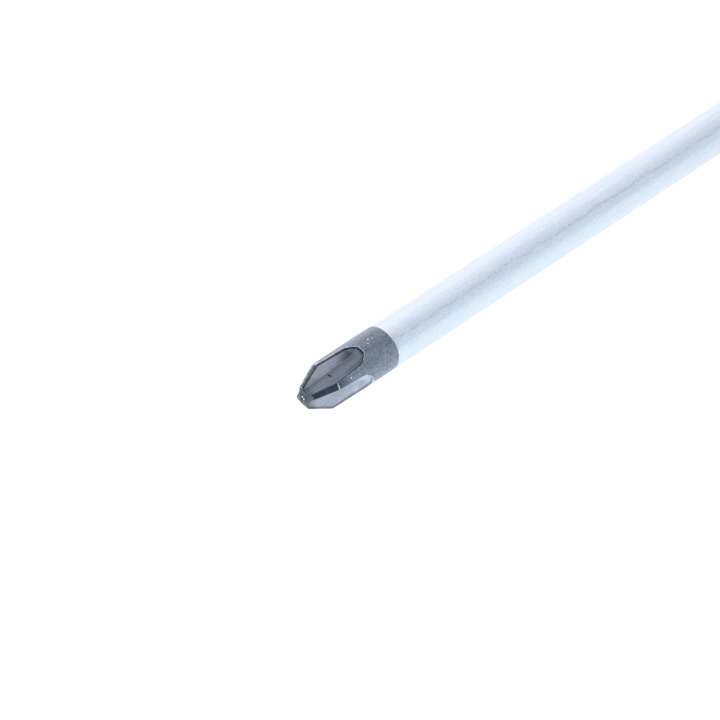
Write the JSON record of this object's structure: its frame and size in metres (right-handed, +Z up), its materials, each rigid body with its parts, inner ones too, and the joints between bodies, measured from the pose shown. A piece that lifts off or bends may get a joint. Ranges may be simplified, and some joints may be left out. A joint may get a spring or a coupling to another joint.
{
  "type": "insulated screwdriver",
  "caption": "Hand screwdriver with a cross tip, a shank insulated up to the bare tip, and an insulating handle with a guard, soft grips and a hanging hole.",
  "frame": {"origin": "middle of the overall length, below the blade's axis, on the plane the handle rests on", "axes": "+X along the blade's axis from the tip to the handle's end; +Z up, away from the bench; +Y across"},
  "size_m": [0.212, 0.0352, 0.0318],
  "materials": {
    "tip_steel": "blackened, satin",
    "warning_layer": "matte",
    "insulation": "satin, fine grain",
    "core_plastic": "natural",
    "hard_red": "semi-gloss",
    "hard_yellow": "semi-gloss",
    "soft_grip": "matte, fine texture",
    "disc_plastic": "semi-gloss"
  },
  "bodies": {
    "root": {"blade": "tip_steel", "sleeve_inner": "warning_layer", "sleeve_outer": "insulation", "handle_core": "core_plastic", "handle_body": "hard_red", "guard": "hard_yellow", "grip_band_front": "soft_grip", "grip_pad_1": "soft_grip", "grip_pad_2": "soft_grip", "grip_pad_3": "soft_grip", "grip_pad_4": "soft_grip", "grip_pad_5": "soft_grip", "grip_pad_6": "soft_grip", "grip_band_rear": "soft_grip", "end_cap": "hard_red", "end_disc": "disc_plastic"}
  },
  "joints": []
}
